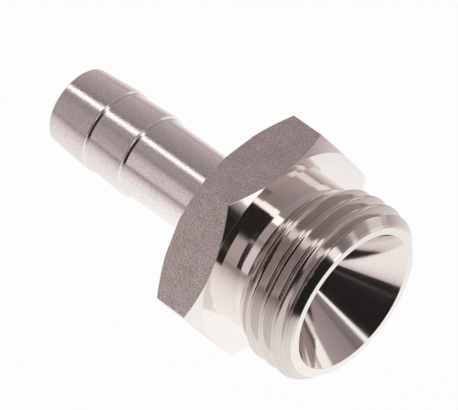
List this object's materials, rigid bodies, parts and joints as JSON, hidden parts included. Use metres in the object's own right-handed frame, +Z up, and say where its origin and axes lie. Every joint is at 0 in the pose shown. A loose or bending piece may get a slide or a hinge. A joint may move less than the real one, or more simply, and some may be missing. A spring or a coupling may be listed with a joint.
{
  "type": "hose barb tail",
  "caption": "Turned stainless fitting: a hexagon with a parallel male pipe thread and coned mouth at one end, and a barbed tail for a hose at the other.",
  "frame": {"origin": "on the fitting's axis, in the plane of the hexagon's front face, which seats on the sealing washer", "axes": "+X along the axis out of the threaded mouth, -X towards the hose, +Z up from the hexagon flat that it lies on"},
  "size_m": [0.0413, 0.0278, 0.024],
  "materials": {
    "stainless_steel": "turned bright on the chamfers, thread and cone, satin turned on the tail, drawn bar finish on the hexagon flats"
  },
  "bodies": {
    "root": {"fitting_body": "stainless_steel"}
  },
  "joints": []
}
